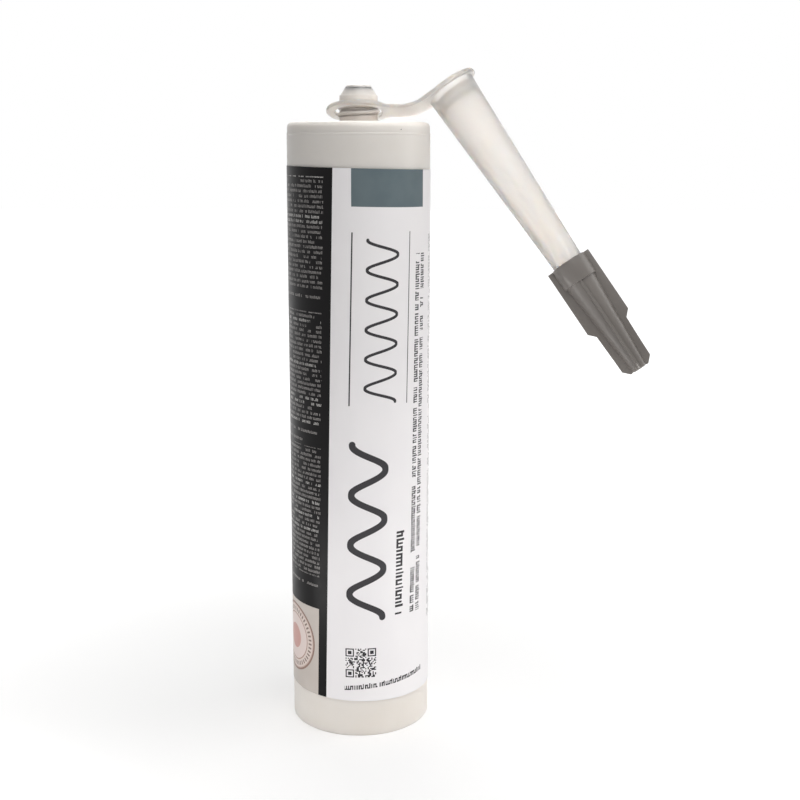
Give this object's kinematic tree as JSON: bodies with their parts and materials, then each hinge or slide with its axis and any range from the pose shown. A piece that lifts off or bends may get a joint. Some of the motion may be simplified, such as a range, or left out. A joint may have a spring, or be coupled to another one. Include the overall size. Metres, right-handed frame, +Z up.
{
  "type": "sealant cartridge",
  "caption": "Sealant cartridge with a wrap label, a piston, a threaded neck and a capped nozzle that hangs by a moulded strap from a loose neck ring.",
  "frame": {"origin": "centre of the open base, in the plane of the barrel's lower rim", "axes": "+Z up along the barrel towards the neck, -Y towards the front of the label, +X towards the side where the nozzle hangs"},
  "size_m": [0.1239, 0.0545, 0.2332],
  "materials": {
    "barrel": "moulded polyethylene, satin",
    "label": "printed film, satin",
    "sealant": "soft paste",
    "piston": "moulded polyethylene, satin",
    "nozzle": "translucent moulded polyethylene, satin",
    "cap": "moulded polyethylene, satin"
  },
  "bodies": {
    "cartridge": {"barrel": "barrel", "label": "label", "sealant": "sealant"},
    "plunger": {"piston": "piston"},
    "ring": {"retaining_ring": "nozzle"},
    "nozzle": {"nozzle": "nozzle"},
    "cap": {"cap": "cap"}
  },
  "joints": [
    {"name": "piston_slide", "type": "slide", "parent": "cartridge", "child": "plunger", "axis": [0, 0, 1], "range_m": [0, 0.182], "deforming": ["sealant"]},
    {"name": "ring_swivel", "type": "hinge", "parent": "cartridge", "child": "ring", "pos_m": [0, 0, 0.21876], "axis": [0, 0, 1], "continuous": true},
    {"name": "nozzle_swing", "type": "hinge", "parent": "ring", "child": "nozzle", "pos_m": [0.0184, 0.00019, 0.21943], "axis": [0, -0.9613, 0.2756], "range_deg": [-30, 85], "stiffness_Nm_per_rad": 0.03, "springref_deg": 4.47},
    {"name": "cap_slide", "type": "slide", "parent": "nozzle", "child": "cap", "axis": [0.5505, -0.2301, -0.8025], "range_m": [0, 0.045]}
  ]
}
